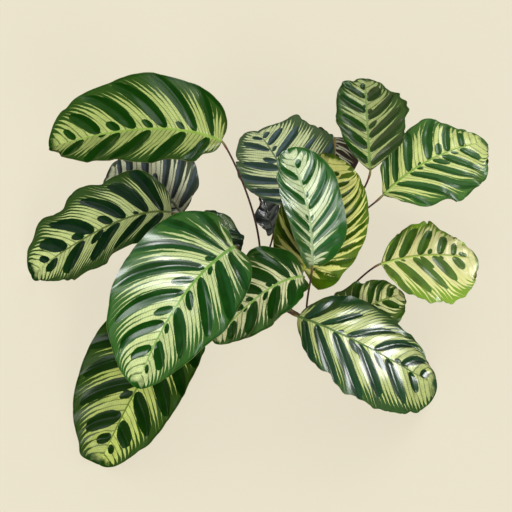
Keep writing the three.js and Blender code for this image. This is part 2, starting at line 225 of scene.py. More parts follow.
         comb=(0.3, 0.85, 0.7), gloss=0.3, under=("#C0C8B4", "#3C322C"),
         colours=("#A5B070", "#1C3A18", "#28461C", "#50585A", "#7A7050"),
         long=([(80, 35), (220, 50), (400, 55), (600, 55), (790, 45)],
               [(80, 35), (240, 50), (430, 55), (630, 55), (810, 45)]),
         short=([(310, 150), (500, 200)], [(330, 150), (530, 200)])),
    dict(base=(106, 41, 165), bend=(102, 79, 195), tip=(106, 146, 185), width=(36, 38),
         fold=(19, 5), roll=(-11, 13), lobe=(-11, 1), taper=(0.56, 0.61), ripple=(2, 4, 250),
         hole=(16, 45), knee=(88, 60, 30), lead=12, sweep=(0.25, 0.88), edge=(0.5, 1.4),
         comb=(0.3, 0.9, 0.7), gloss=0.1, half_shade=(0, 0.1, "#7A705A"),
         colours=("#B2BE78", "#14380A", "#244A0E", "#3A4628", "#74904A"),
         nicks=([(370, 2.5, 40), (520, -2.5, 80), (850, 2, 30), (930, -3.5, 40)],
                [(500, -1.5, 30), (580, 3, 30), (660, 2.5, 30), (770, 3.5, 25), (870, -2.5, 40),
                 (910, 2, 20), (960, -3, 30)]),
         long=([(100, 50), (250, 65, 900), (420, 55, 800), (620, 55, 900), (785, 45, 880),
                (900, 45, 300)],
               [(60, 45), (200, 60, 950), (345, 55, 860), (545, 60, 880), (770, 80, 650)]),
         short=([(170, 50), (670, 100)], [(435, 250), (600, 150)])),
    dict(base=(122, 38, 130), bend=(161, 65, 165), tip=(238, 118, 120), width=(47, 51),
         fold=(6, 24), roll=(-2, -22), lobe=(-10, 4), taper=(0.6, 0.56), ripple=(3, 7, 0),
         hole=(16, 15), knee=(26, 11, 71), lead=35, sweep=(0.7, 0.97), edge=(1.4, 0.7),
         comb=(0.45, 0.93, 0.6), gloss=0.2,
         colours=("#E2EC90", "#264F1A", "#3A6A2A", "#446A3A", "#8CB04A"),
         nicks=([(60, 2, 40), (310, -2.5, 60), (510, -4, 20), (600, 5, 40), (680, 4, 40),
                 (820, -2, 40), (930, -8, 45)],
                [(20, -3, 20), (120, -1, 30), (220, 3, 140), (380, 2.5, 30), (840, 3, 30),
                 (930, -4, 30), (980, -6, 25)]),
         long=([(55, 30), (155, 40), (300, 50), (500, 50), (670, 40, 880), (800, 30, 600)],
               [(40, 15), (150, 45), (295, 50), (440, 45, 900), (610, 55, 750), (780, 50, 550)]),
         short=([(400, 80), (590, 300)], [(370, 100), (520, 280), (690, 140)])),
    dict(base=(123, -6, 72), bend=(170, -2, 95), tip=(227, 8, 58), width=(45, 51),
         fold=(3, 28), roll=(-4, 1), lobe=(-4, 3), taper=(0.58, 0.53), ripple=(2, 4, 70),
         shoot="side", hole=(5, 60), knee=(92, 0, 8), lead=16, sweep=(0.7, 1.2), edge=(1.1, 1.3),
         comb=(0.5, 0.99, 0.2), gloss=0.32, half_shade=(0, 0.1, "#A0AC5C"), deep=([(250, 140, 250)], []),
         colours=("#F8F4A8", "#34581C", "#74A020", "#4A7032", "#A0BC48"),
         nicks=([(190, 1.5, 30), (290, 3.5, 40), (460, -4, 60), (580, -3, 20), (640, 5, 35),
                 (760, -4, 50), (910, -7, 50)],
                [(230, -2.5, 30), (300, -1, 30), (410, 3.5, 40), (580, -3, 30), (670, 2.5, 30),
                 (790, 2, 30), (970, -6, 30)]),
         long=([(60, 42), (210, 62, 860), (400, 58, 720), (600, 50, 660), (740, 35, 500),
                (840, 45, 220)],
               [(20, 20), (140, 50, 800), (330, 60, 740), (540, 75, 600), (755, 60, 360)]),
         short=([(490, 170)], [(200, 100), (400, 300), (600, 100)])),
    dict(base=(85, -60, 46), bend=(113, -42, 59), tip=(148, -25, 44), width=(31, 32),
         fold=(9, 19), roll=(-6, 6), lobe=(9, -3), taper=(0.47, 0.61), ripple=(3, 4, 240),
         shoot="side", hole=(5, 300), knee=(60, -50, 28), lead=11, sweep=(0.97, 0.97),
         edge=(0.7, 0.7), comb=(0.3, 0.92, 0.7), gloss=0.3, deep=([], [(600, 200, 300)]),
         colours=("#FAFEB0", "#22480C", "#406216", "#365A1E", "#86A046"),
         nicks=([(240, 2, 50), (570, -4.5, 60)], []),
         long=([(200, 50), (440, 60), (570, 40), (780, 60, 600)],
               [(200, 50), (400, 70, 650), (660, 85, 600)]),
         short=([(320, 150)], [(520, 150)])),
    dict(base=(35, -82, 92), bend=(84, -119, 121), tip=(180, -111, 0.75), width=(53, 53),
         fold=(6, 23), roll=(2, -9), lobe=(-2, -12), taper=(0.62, 0.53), ripple=(2, 1.5, 120),
         hole=(16, 320), knee=(6, -28, 50), lead=24, sweep=(0.97, 0.6), edge=(0.9, 1.5),
         comb=(0.5, 0.96, 0.7), gloss=0.8,
         deep=([(220, 400, 220), (450, 80, 200)], [(100, 120, 150)]),
         colours=("#DCE890", "#0E3416", "#1E4E1C", "#2A4E30", "#4C7438"),
         nicks=([(200, 3, 80), (800, -3, 25), (850, 3, 30), (940, -5, 30)],
                [(60, -2, 40), (330, -4, 30), (440, 4.5, 35), (570, -1, 20), (630, 3, 30),
                 (720, 2.5, 40), (800, 3, 30), (900, 3, 40)]),
         long=([(60, 45), (190, 44, 640, 120), (395, 48, 700, 160), (585, 46, 840, 100),
                (770, 40, 760, 80), (900, 25, 400)],
               [(60, 34), (170, 44), (310, 54), (490, 55, 800), (680, 48, 800), (830, 32, 500)]),
         short=([(330, 100), (730, 120)], [(425, 250), (600, 300)])),
]

# The blade's grid: cells along and across it, which lie closer together near the midrib.
COLUMNS = 120
ROWS = 64
CROWDING = 1.4

# Its outline and thickness, in millimetres or in shares of its own length and width.
BLUNT_END = 0.8
LOBE_REACH = 1.6
LEAF_THICKNESS = 0.5
KEEL_DEPTH = 1.3
KEEL_WIDTH = 1.3
SCALLOP_LENGTH = 17
SCALLOP_SHARPNESS = 0.6
SCALLOP_WANDER = (0.3, 1.0)
RIGHT_SCALLOP_SHIFT = 1.3

# Its relief, which is lower where the blade is slim and on a leaf less wide than the full one.
RIB_HEIGHT = 0.45
RIB_WIDTH = 1.0
RIB_TAPER = 0.75
FURROW_DEPTH = 2.0
FURROW_WIDTH = 4.5
SHALLOW_FURROW = 0.4
FURROW_FADE_IN = 0.08
FURROW_FADE_OUT = 0.3
FURROW_OVERRUN = 0.22
RUFFLE_HEIGHT = 0.7
RUFFLE_WAVES = (3.3, 5.1, 7.4)
RUFFLE_SLANT = (0.2, 0.8)
SLIM_FULLNESS = 0.4
FULL_RELIEF_WIDTH = 64

# Its pattern: blotches, with their reach, width and depth in thousandths as in the table, the
# spacing of the fine veins, and the width of the midrib's painted line.
BLOTCH_START = 0.015
OPEN_REACH = 1020
BLOTCH_BLUNTNESS = 2.6
SHORT_HALF_WIDTH = 12
SHORT_WIDTH_PER_REACH = 0.075
LONG_DEPTH = 1000
SHORT_DEPTH = 450
FAR_OUTSIDE = -99.0
FINE_VEIN_SPACING = 5.3
RIB_LINE_LEAST = 0.35
RIB_LINE_TAPER = 1.25

TINY = 1e-9
SHARP_EDGE = radians(60)


def unit(vectors):
    """Each vector divided by its length."""
    return vectors / np.linalg.norm(vectors, axis=-1, keepdims=True)


def midrib_frame(leaf, s):
    """The midrib is base (1-s)^2 + bend 2s(1-s) + tip s^2. With each of its points go the way
    along it, the way to the leaf's right and the way up, both turned round the midrib by
    roll + twist (s-1/2)."""
    base, bend, tip = (np.array(leaf[end], float) for end in ("base", "bend", "tip"))
    s = np.asarray(s, float)[..., None]
    centre = (1 - s) ** 2 * base + 2 * s * (1 - s) * bend + s ** 2 * tip
    along = unit((1 - s) * (bend - base) + s * (tip - bend))
    chord = tip - base
    level = unit(np.array([chord[1], -chord[0], 0.0]))
    flat_right = unit(level - (along * level).sum(-1, keepdims=True) * along)
    flat_up = np.cross(flat_right, along)
    roll, twist = leaf["roll"]
    turn = np.radians(roll + twist * (s - 0.5))
    right = flat_right * np.cos(turn) + flat_up * np.sin(turn)
    up = flat_up * np.cos(turn) - flat_right * np.sin(turn)
    return centre, along, right, up


def fullness(leaf, s):
    """(s/m)^p ((1-s)/(1-m))^q with the taper (p, q) and m = p/(p+q), which is 1 at the widest."""
    p, q = leaf["taper"]
    widest = p / (p + q)
    return (s / widest) ** p * ((1 - s) / (1 - widest)) ** q


def half_breadth(leaf, s, across):
    """How far it is from the midrib to the margin: width times fullness, and blunt at the ends."""
    return np.where(across < 0, *leaf["width"]) * fullness(leaf, s) + BLUNT_END


def blade_points(leaf, s, across):
    """From the midrib's point: half-breadth times |across| outward at fold - bend |across|/2
    degrees, plus ripple |across|^3 upward, and back past the base by lobe across^2 (1-s)^3."""
    centre, _, right, up = midrib_frame(leaf, s)
    side = np.where(across < 0, -1.0, 1.0)
    outward = np.abs(across)
    full = fullness(leaf, s)
    distance = half_breadth(leaf, s, across) * outward
    fold, bend_back = leaf["fold"]
    slope = np.radians(fold - bend_back * outward / 2)
    waves, height, phase = leaf["ripple"]
    turn = 2 * pi * waves * s + np.radians(np.where(across < 0, phase, phase + 90))
    lift = distance * np.sin(slope) + height * outward ** 3 * np.sin(turn) * full
    lobe, skew = leaf["lobe"]
    reach = LOBE_REACH * (lobe + side * skew) * outward ** 2 * full * (1 - s) ** 3
    first_way = midrib_frame(leaf, 0.0)[1]
    points = centre + (side * distance * np.cos(slope))[..., None] * right
    return points + lift[..., None] * up - reach[..., None] * first_way


def vein_place(leaf, start, across):
    """Where on the midrib's scale a vein is, at a share |across| of the way out: start + sweep
    (3/4 |across| + 1/4 across^2) sqrt(start) (1 - start)^fade, with fade = max(1, sweep)."""
    sweep = np.where(across < 0, *leaf["sweep"])
    outward = np.abs(across)
    lean = sweep * (0.75 * outward + 0.25 * outward ** 2)
    return start + lean * np.sqrt(start) * (1 - start) ** np.maximum(1, sweep)


def half_marks(leaf, start, outward, half, length):
    """For one half of the blade: how far inside the nearest blotch each point lies (mm); on which
    side of that blotch's middle vein, from -1 to 1; and how near to such a vein, from 0 to 1.
    A blotch's half-width is w (1 - x^bluntness)^(1/2), with x from -1 to 1 along it."""
    inside = np.full(start.shape, FAR_OUTSIDE)
    aside = np.zeros(start.shape)
    furrow = np.zeros(start.shape)
    long_ones = [(place, width, *rest, *(OPEN_REACH, 0)[len(rest):], LONG_DEPTH)
                 for place, width, *rest in leaf["long"][half]]
    short_ones = [(place, SHORT_HALF_WIDTH + SHORT_WIDTH_PER_REACH * reach, reach, 0, SHORT_DEPTH)
                  for place, reach in leaf["short"][half]]
    for blotch in long_ones + short_ones:
        place, half_width, reach, lean, depth = (value / 1000 for value in blotch)
        beside = start - (place + lean * outward)
        middle = (reach + BLOTCH_START) / 2
        span = (reach - BLOTCH_START) / 2
        x = np.abs(outward - middle) / span
        profile = half_width * np.sqrt(np.clip(1 - x ** BLOTCH_BLUNTNESS, 0, 1))
        past_end = np.clip(x - 1, 0, None) * span * leaf["width"][half]
        here = length * (profile - np.abs(beside)) - past_end
        aside = np.where(here > inside, np.clip(beside / half_width, -1, 1), aside)
        inside = np.maximum(inside, here)
        width = FURROW_WIDTH * (SHALLOW_FURROW + (1 - SHALLOW_FURROW) * depth)
        near = np.exp(-np.abs(beside) * length / width)
        fade_in = np.clip(outward / FURROW_FADE_IN, 0, 1)
        fade_out = np.clip((reach + FURROW_OVERRUN - outward) / FURROW_FADE_OUT, 0, 1)
        furrow = np.maximum(furrow, depth * near * fade_in * fade_out)
    return inside, aside, furrow


def ruffle(start, across, rng):
    """Slow random swells of the sheet: three sines over the blade, growing towards the margin."""
    swell = np.zeros(start.shape)
    for waves in RUFFLE_WAVES:
        slant = rng.uniform(*RUFFLE_SLANT) * waves * across / 3
        turn = 2 * pi * (waves * start + slant + rng.random())
        swell += np.sin(turn) / waves * RUFFLE_WAVES[0]
    return RUFFLE_HEIGHT * swell * np.abs(across) ** 1.5


def bells(places, s, across):
    """The sum of height exp(-((s - where)/half-length)^2) over each half's own places."""
    total = np.zeros(s.shape)
    for side, side_places in zip((-1, 1), places):
        for where, height, half_length in side_places:
            bell = height * np.exp(-((s - where / 1000) / (half_length / 1000)) ** 2)
            total += (np.sign(across) == side) * bell
    return total


def scallops(leaf, s, across, length, rng):
    """How far the margin stands out: e (|sin a|^p - p) |across|^4, where the angle a grows by half
    a turn with each scallop, a little unevenly, e is the half's depth and p the sharpness. The
    nicks' bell curves add to it."""
    depth = np.where(across < 0, *leaf["edge"])
    wander = sum(rng.uniform(*SCALLOP_WANDER) * np.sin(2 * pi * waves * s + rng.uniform(0, 6))
                 for waves in (1, 2, 3))
    shift = np.where(across < 0, 0, RIGHT_SCALLOP_SHIFT)
    turn = pi * length / SCALLOP_LENGTH * s + wander + shift
    waved = depth * (np.abs(np.sin(turn)) ** SCALLOP_SHARPNESS - SCALLOP_SHARPNESS)
    return (waved + bells(leaf.get("nicks", ()), s, across)) * np.abs(across) ** 4


def outward_way(sheet, across):
    """The way in the sheet, square to its length, that leads from the midrib to the margin."""
    along = unit(np.gradient(sheet, axis=0) + TINY)
    sideways = np.gradient(sheet, axis=1)
    sideways -= (sideways * along).sum(-1, keepdims=True) * along
    return np.sign(across)[..., None] * unit(sideways + TINY)


def upward_way(sheet):
    """The way square to the sheet. Both ends, where its rows meet, take their neighbours' way."""
    way = np.cross(np.gradient(sheet, axis=1), np.gradient(sheet, axis=0))
    way[0], way[-1] = way[1], way[-2]
    return unit(way)


def new_mesh(name, points, faces, marks):
    """A mesh of points in millimetres, smooth but for its sharp edges, with a named value of each
    point for every mark."""
    mesh = bpy.data.meshes.new(name)
    mesh.from_pydata((points * MM).tolist(), [], faces)
    for key, values in marks.items():
        layer = mesh.attributes.new(key, "FLOAT", "POINT")
        layer.data.foreach_set("value", values.ravel().astype(np.float32))
    mesh.shade_smooth()
    mesh.set_sharp_from_angle(angle=SHARP_EDGE)
    return mesh


def sheet_mesh(name, top, bottom, marks):
    """A closed sheet of two like grids: the top as it is, the bottom turned over, and a rim of
    quads from edge to edge. marks are named values of the top's points, then the bottom's."""
    columns, rows = top.shape[:2]
    number = np.arange(columns * rows).reshape(columns, rows)
    a, b, c, d = number[:-1, :-1], number[:-1, 1:], number[1:, 1:], number[1:, :-1]
    upper = np.stack([a, b, c, d], -1).reshape(-1, 4)
    lower = np.stack([a, d, c, b], -1).reshape(-1, 4) + number.size
    loop = np.concatenate([number[0, :-1], number[:-1, -1], number[-1, :0:-1], number[:0:-1, 0]])
    onward = np.roll(loop, -1)
    rim = np.stack([loop + number.size, onward + number.size, onward, loop], -1)
    points = np.concatenate([top.reshape(-1, 3), bottom.reshape(-1, 3)])
    return new_mesh(name, points, np.concatenate([upper, lower, rim]).tolist(), marks)


def blade_mesh(name, leaf, rng):
    """The blade on a grid of veins by shares of the half-width. The top stands out by rib and
    ruffle and sinks at the furrows. The bottom lies one thickness lower, with a keel below the
    midrib. Neither goes below the table."""
    starts = (1 - np.cos(pi * np.linspace(0, 1, COLUMNS + 1))) / 2
    shares = np.linspace(-1, 1, ROWS + 1)
    shares = np.sign(shares) * np.abs(shares) ** CROWDING
    start, across = np.meshgrid(starts, shares, indexing="ij")
    outward = np.abs(across)
    s = np.clip(vein_place(leaf, start, across), 0, 1)
    midrib = midrib_frame(leaf, starts)[0]
    length = np.linalg.norm(np.diff(midrib, axis=0), axis=1).sum()
    slimness = np.clip(fullness(leaf, s) / SLIM_FULLNESS, 0, 1)
    sheet = blade_points(leaf, s, across)
    stands_out = slimness * scallops(leaf, s, across, length, rng)
    sheet = sheet + stands_out[..., None] * outward_way(sheet, across)
    upward = upward_way(sheet)

    halves = [half_marks(leaf, start, outward, half, length) for half in (0, 1)]
    inside, aside, furrow = (np.where(across < 0, *both) for both in zip(*halves))
    breadth = half_breadth(leaf, s, across)
    from_rib = breadth * outward
    narrowing = 1 - RIB_TAPER * s
    rib = RIB_HEIGHT * narrowing * np.exp(-(from_rib / (RIB_WIDTH * narrowing)) ** 2)
    relief = slimness * min(1, sum(leaf["width"]) / FULL_RELIEF_WIDTH) ** 2
    height = rib + relief * (ruffle(start, across, rng) - FURROW_DEPTH * furrow)
    keel = KEEL_DEPTH * (1 - s) * np.exp(-(from_rib / KEEL_WIDTH) ** 2)
    top = sheet + height[..., None] * upward
    bottom = sheet + (height - rib - LEAF_THICKNESS - keel)[..., None] * upward
    for face in (top, bottom):
        face[..., 2] = np.maximum(face[..., 2], 0)

    halfway = vein_place(leaf, start, np.where(across < 0, -0.5, 0.5))
    marks = dict(
        vein=halfway * round(length / FINE_VEIN_SPACING),
        outward=outward + bells(leaf.get("deep", ()), s, across) / 1000 * across ** 2,
        blotch=inside,
        # Which side of its blotch's vein a point lies on, which places the painted sheen.
        fold=np.where(across < 0, -aside, aside),
        rib=from_rib / (RIB_LINE_LEAST + RIB_LINE_TAPER * narrowing),
        rim=breadth * (1 - outward),
        half=np.where(across < 0, 0.0, 1.0),
        place=s,
    )
    marks = {key: np.stack([values, values]) for key, values in marks.items()}
    marks["under"] = np.stack([np.zeros(s.shape), np.ones(s.shape)])
    return sheet_mesh(name, top, bottom, marks)


def paint(code):
    """A colour given as #RRGGBB, as the linear values that a shader takes."""
    values = [int(code[i:i + 2], 16) / 255 for i in (1, 3, 5)]
    linear = [c / 12.92 if c <= 0.04045 else ((c + 0.055) / 1.055) ** 2.4 for c in values]
    return (*linear, 1.0)


def node(tree, kind, inputs=(), output=0, **settings):
    """Adds a shader node, sets it, fills or wires its inputs in order, and gives back an output."""
    made = tree.nodes.new("ShaderNode" + kind)
    for name, value in settings.items():
        setattr(made, name, value)
    for place, value in (inputs.items() if isinstance(inputs, dict) else enumerate(inputs)):
        if isinstance(value, bpy.types.NodeSocket):
            tree.links.new(value, made.inputs[place])
        elif value is not None:
            made.inputs[place].default_value = value
    return made.outputs[output]


def calc(operation, *values):
    """One sum of a Math node, in the tree that the first value comes from."""
    return node(values[0].id_data, "Math", values, operation=operation)


def scaled(value, factor, added=0.0):
    """value times factor, plus what is added."""
    return calc("MULTIPLY_ADD", value, factor, added)


def rise(value, low, high):
    """0 below low, 1 above high, smooth between. With high below low it falls instead."""
    inputs = {"Value": value, "From Min": low, "From Max": high}
    return node(value.id_data, "MapRange", inputs, interpolation_type="SMOOTHSTEP")


def mixed(factor, *colours):
    """The first colour, with that much of the second over it. Each is wired or a #RRGGBB."""
    first, second = (paint(c) if isinstance(c, str) else c for c in colours)
    inputs = {0: factor, 6: first, 7: second}
    return node(factor.id_data, "Mix", inputs, output=2, data_type="RGBA")


def mark(tree, name):
    """A named value of the mesh's points."""
    return node(tree, "Attribute", output=2, attribute_name=name)


def noise(tree, scale, detail=2.0, roughness=0.5, vector=None):
    """Noise from 0 to 1, on the object's own coordinates where no other vector is given."""
    place = vector or node(tree, "TexCoord", output=3)
    inputs = {"Vector": place, "Scale": scale, "Detail": detail, "Roughness": roughness}
    return node(tree, "TexNoise", inputs)


def new_material(name):
    """An empty material and its tree."""
    material = bpy.data.materials.new(name)
    material.use_nodes = True
    material.node_tree.nodes.clear()
    return material, material.node_tree


def finish_material(tree, colour, roughness, normal=None, **fixed):
    """One principled shader: colour, roughness and any normal wired, the rest as plain values."""
    inputs = {"Base Color": colour, "Roughness": roughness, "Normal": normal}
    inputs |= {socket.replace("_", " "): value for socket, value in fixed.items()}
    output = tree.nodes.new("ShaderNodeOutputMaterial")
    tree.links.new(node(tree, "BsdfPrincipled", inputs), output.inputs[0])


UNDER_COLOURS = ("#846C50", "#42221F")
UNDER_RIB = "#96804E"
RIM_PALE = "#8A9456"
VEIN_OLIVE = "#3C5012"
BASE_BRONZE = "#5C4A1E"

# Scales of the pattern: of the noises by metres, of the streaks along and across the veins, how
# many hairlines run between two veins, and how far apart the threads of the weave are (mm).
SPECK_SCALE = 900
WANDER_SCALE = 160
CLOUD_SCALE = 60
STREAK_SCALES = (1.7, 5.0)
STREAK_SEED = 10.0
HAIRLINES = 4
WEAVE_SPACING = 2.4
LINE_SHARPNESS = 0.06

# Between which two values each part of the pattern fades in, or out where the first is larger.
# Two of them place the painted sheen over one half of a blotch.
FADES = dict(
    blotch=(-0.3, 0.3), near_blotch=(-4.5, -0.5), hairlines=(0.35, 1.0), weave=(0.0, 1.0),
    tip=(0.945, 0.99), root=(0.35, 0.1), shade=(0.35, 0.75), line_strength=(0.0, 0.3),
    line_colour=(0.0, 0.5), cloud=(0.3, 0.75), sheen_half=(-0.1, 0.3), sheen_streak=(0.2, 0.6),
    bronze=(0.12, 0.0), rib=(1.15, 0.7), rib_end=(0.97, 0.8), rim=(0.5, 0.15))

# How much of its own colour each of them lays over the ground, and the full strength of a line.
# One of them is the painted sheen over one half of a blotch.
STRENGTHS = dict(shade=0.37, outward=0.14, hairlines=0.3, weave=0.23, line=0.95, cloud=0.5,
                 sheen=0.75, bronze=0.18, rib=0.9, rim=0.4)


def faded(part, value):
    """How much of that part of the pattern there is, by its two values in FADES."""
    return rise(value, *FADES[part])


def painted(part, amount, below, colour, share=1.0):
    """A colour laid over what is below it, by an amount times the part's strength."""
    return mixed(scaled(amount, STRENGTHS[part] * share), below, colour)


def vein_lines(tree, comb, vein, outward, patch, streaky):
    """The veins as dark lines: each starts somewhere outside the midrib, sooner beside a blotch,
    and widens until it joins its neighbours in the margin. Gives how much of a line is at a point,
    and how far it has grown there, from 0 to 1."""
    cell = calc("FLOOR", vein)
    luck = node(tree, "TexWhiteNoise", {"W": cell}, noise_dimensions="1D")
    late = node(tree, "TexWhiteNoise", {"W": calc("ADD", cell, 0.5)}, noise_dimensions="1D")
    from_vein = calc("ABSOLUTE", calc("SUBTRACT", calc("FRACT", vein), 0.5))
    first_out = scaled(luck, 0.3, comb[0] - 0.05)
    first_out = scaled(faded("near_blotch", patch), -0.14, first_out)
    last_out = scaled(late, 0.2, comb[1] - 0.12)
    span = {"Value": outward, "From Min": first_out, "From Max": last_out}
    growth = node(tree, "MapRange", span)
    half_width = scaled(luck, 0.06, 0.065)
    half_width = scaled(calc("POWER", growth, 1.6), 0.5, half_width)
    half_width = scaled(streaky, 0.16, half_width)
    within = calc("SUBTRACT", half_width, from_vein)
    return rise(within, -LINE_SHARPNESS, LINE_SHARPNESS), growth


def leaf_material(name, number, leaf):
    """Pale ground crossed by fine dark veins, which widen outwards into the fingers of a dark
    margin; dark blotches, with a painted sheen over one half of each; a light midrib; and the same
    in purple below."""
    material, tree = new_material(name)
    vein, outward, rib = mark(tree, "vein"), mark(tree, "outward"), mark(tree, "rib")
    patch, place, rim = mark(tree, "blotch"), mark(tree, "place"), mark(tree, "rim")
    under = mark(tree, "under")
    ground, blotch, margin, painted_sheen_colour, rib_green = leaf["colours"]
    joined, near_rib = leaf["comb"][1:]

    # Chance: specks, a slow wander, clouds, and streaks drawn out along the veins.
    speck = calc("SUBTRACT", noise(tree, SPECK_SCALE), 0.5)
    wander = calc("SUBTRACT", noise(tree, WANDER_SCALE), 0.5)
    cloud = faded("cloud", noise(tree, CLOUD_SCALE, 3))
    along_veins = [scaled(value, scale) for value, scale in zip((vein, outward), STREAK_SCALES)]
    along_veins = node(tree, "CombineXYZ", (*along_veins, STREAK_SEED * number))
    streak = noise(tree, 1.0, 3, 0.6, along_veins)
    streaky = calc("SUBTRACT", streak, 0.5)

    # How much of each part there is: blotches, lines, hairlines, weave and dark edges.
    ragged = scaled(streaky, 2.2, patch)
    blotches = faded("blotch", calc("ADD", speck, ragged))
    shifted = scaled(wander, 0.3, vein)
    lines, growth = vein_lines(tree, leaf["comb"], shifted, outward, patch, streaky)
    hairlines = faded("hairlines", calc("SINE", scaled(shifted, 2 * pi * HAIRLINES)))
    threads = scaled(scaled(wander, 4.0, rim), 2 * pi / WEAVE_SPACING)
    weave = faded("weave", calc("SINE", threads))
    band = rise(scaled(wander, 0.06, outward), joined + 0.01, joined + 0.06)
    tip = faded("tip", scaled(wander, 0.08, place))
    edges = calc("MAXIMUM", band, calc("MAXIMUM", tip, faded("root", vein)))

    # The upper side: the pale ground, what crosses it, the dark parts, and the light lines.
    olive = tuple((a + b) / 2 for a, b in zip(paint(VEIN_OLIVE), paint(margin)))
    pale = painted("shade", faded("shade", streak), ground, margin, near_rib)
    pale = painted("outward", outward, pale, margin)
    pale = painted("hairlines", hairlines, pale, olive, near_rib)
    pale = painted("weave", weave, pale, margin, near_rib)
    grown = faded("line_strength", growth)
    line_strength = scaled(grown, STRENGTHS["line"] - near_rib, near_rib)
    line_colour = mixed(faded("line_colour", growth), olive, margin)
    dark = painted("cloud", cloud, blotch, margin)
    # Painted sheen: a lighter, greyer colour over one half of each blotch, where light would glance
    # off its pleat.
    sheen_half = faded("sheen_half", mark(tree, "fold"))
    painted_sheen_mask = scaled(sheen_half, faded("sheen_streak", streak))
    dark = painted("sheen", painted_sheen_mask, dark, painted_sheen_colour)
    colour = mixed(scaled(lines, line_strength), pale, line_colour)
    colour = mixed(edges, colour, mixed(cloud, margin, blotch))
    colour = mixed(blotches, colour, dark)
    colour = painted("bronze", faded("bronze", place), colour, BASE_BRONZE)
    # Painted shade: a duller colour laid over the half of the leaf that is turned from the light.
    if "half_shade" in leaf:
        left_share, right_share, half_shade_colour = leaf["half_shade"]
        share = scaled(mark(tree, "half"), right_share - left_share, left_share)
        colour = mixed(share, colour, half_shade_colour)
    rib_line = scaled(faded("rib", rib), faded("rib_end", place))
    colour = painted("rib", rib_line, colour, rib_green)
    colour = painted("rim", faded("rim", rim), colour, RIM_PALE)

    # The under side, and then the wax and the relief of both.
    darkness = calc("MAXIMUM", blotches, calc("MAXIMUM", edges, lines))
    below = mixed(darkness, *leaf.get("under", UNDER_COLOURS))
    below = mixed(rib_line, below, UNDER_RIB)
    colour = mixed(under, colour, below)
    roughness = scaled(streak, 0.12, 0.24)
    roughness = scaled(under, 0.2, roughness)
    quilting = calc("COSINE", scaled(shifted, 2 * pi))
    relief = scaled(speck, 0.06)
    for value, height in ((hairlines, -0.05), (quilting, -0.25), (streak, 0.2)):
        relief = scaled(value, height, relief)
    normal = node(tree, "Bump", {"Strength": 0.6, "Distance": 0.3 * MM, "Height": relief})
    gloss = leaf["gloss"]
    finish_material(tree, colour, roughness, normal, Specular_IOR_Level=0.05 + 0.35 * gloss,
                    Coat_Weight=gloss, Coat_Roughness=0.2, Coat_IOR=1.5)
    return material


def add_piece(name, mesh, material, node_name):
    """Puts a finished mesh in the scene, at the origin, in place of the node that it stands for."""
    mesh.materials.append(material)
    piece = bpy.data.objects.new(name, mesh)
    bpy.context.scene.collection.objects.link(piece)
    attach(piece, "root")
    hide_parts(node_name)


for number, leaf in enumerate(LEAVES, 1):
    name = f"leaf_{number:02d}"
    mesh = blade_mesh(name, leaf, np.random.default_rng(number))
    material = leaf_material(name, number, leaf)
    add_piece(name, mesh, material, f"blade_{number:02d}")

# The 17 stalks. Each is a wiry petiole with a sheath round its foot, and below the blade a short,
# thicker joint of orange-green, by which the living leaf turns to the light.
SHOOT_CENTRES = dict(main=(0, 0, 0), side=(53, -44, 0))
STALK_FOOT_HEIGHT = 10
STALK_RINGS = 72
STALK_SIDES = 12
FOOT_RADIUS = 1.9
TOP_RADIUS = 0.95
STALK_TAPER = 0.2
SHEATH_LENGTH = 26
SHEATH_CORE = 8
JOINT_RADIUS = 1.25
JOINT_LENGTH = 11
ANY_SIDEWAYS = (0.31, 0.93, 0.2)


def stalk_route(leaf, share):
    """A cubic curve from the hole's bottom, drawn towards the knee, into line with the midrib."""
    radius, bearing = leaf["hole"]
    turn = radians(bearing)
    step = np.array([radius * cos(turn), radius * sin(turn), STALK_FOOT_HEIGHT])
    foot = np.array(SHOOT_CENTRES[leaf.get("shoot", "main")]) + step
    base = np.array(leaf["base"], float)
    turn_in = base - leaf["lead"] * midrib_frame(leaf, 0.0)[1]
    t = share[:, None]
    return ((1 - t) ** 3 * foot + 3 * t * (1 - t) ** 2 * np.array(leaf["knee"], float)
            + 3 * t ** 2 * (1 - t) * turn_in + t ** 3 * base)


def stalk_radius(from_foot, to_blade):
    """top + taper d + (foot - top) sheath^(3/2) + (joint - top) sqrt(tent), where d runs from 1 at
    the foot to 0 at the blade, sheath falls from 1 to 0 along it, and tent is 1 at the joint's
    middle and 0 at its ends."""
    sheath = np.clip(1 - from_foot / SHEATH_LENGTH, 0, 1)
    tent = np.clip(1 - np.abs(to_blade - JOINT_LENGTH / 2) / (JOINT_LENGTH / 2), 0, 1)
    plain = TOP_RADIUS + STALK_TAPER * to_blade / from_foot[-1]
    sheathed = plain + (FOOT_RADIUS - TOP_RADIUS) * sheath ** 1.5
    return sheathed + (JOINT_RADIUS - TOP_RADIUS) * np.sqrt(tent)


def rings_round(path, radius):
    """Rings of points of the given radii round a path, each square to it."""
    way = unit(np.gradient(path, axis=0))
    first = unit(np.cross(way, ANY_SIDEWAYS))
    second = np.cross(way, first)
    turn = 2 * pi * np.arange(STALK_SIDES) / STALK_SIDES
    circle = np.cos(turn)[:, None] * first[:, None] + np.sin(turn)[:, None] * second[:, None]
    return path[:, None] + np.reshape(radius, (-1, 1, 1)) * circle


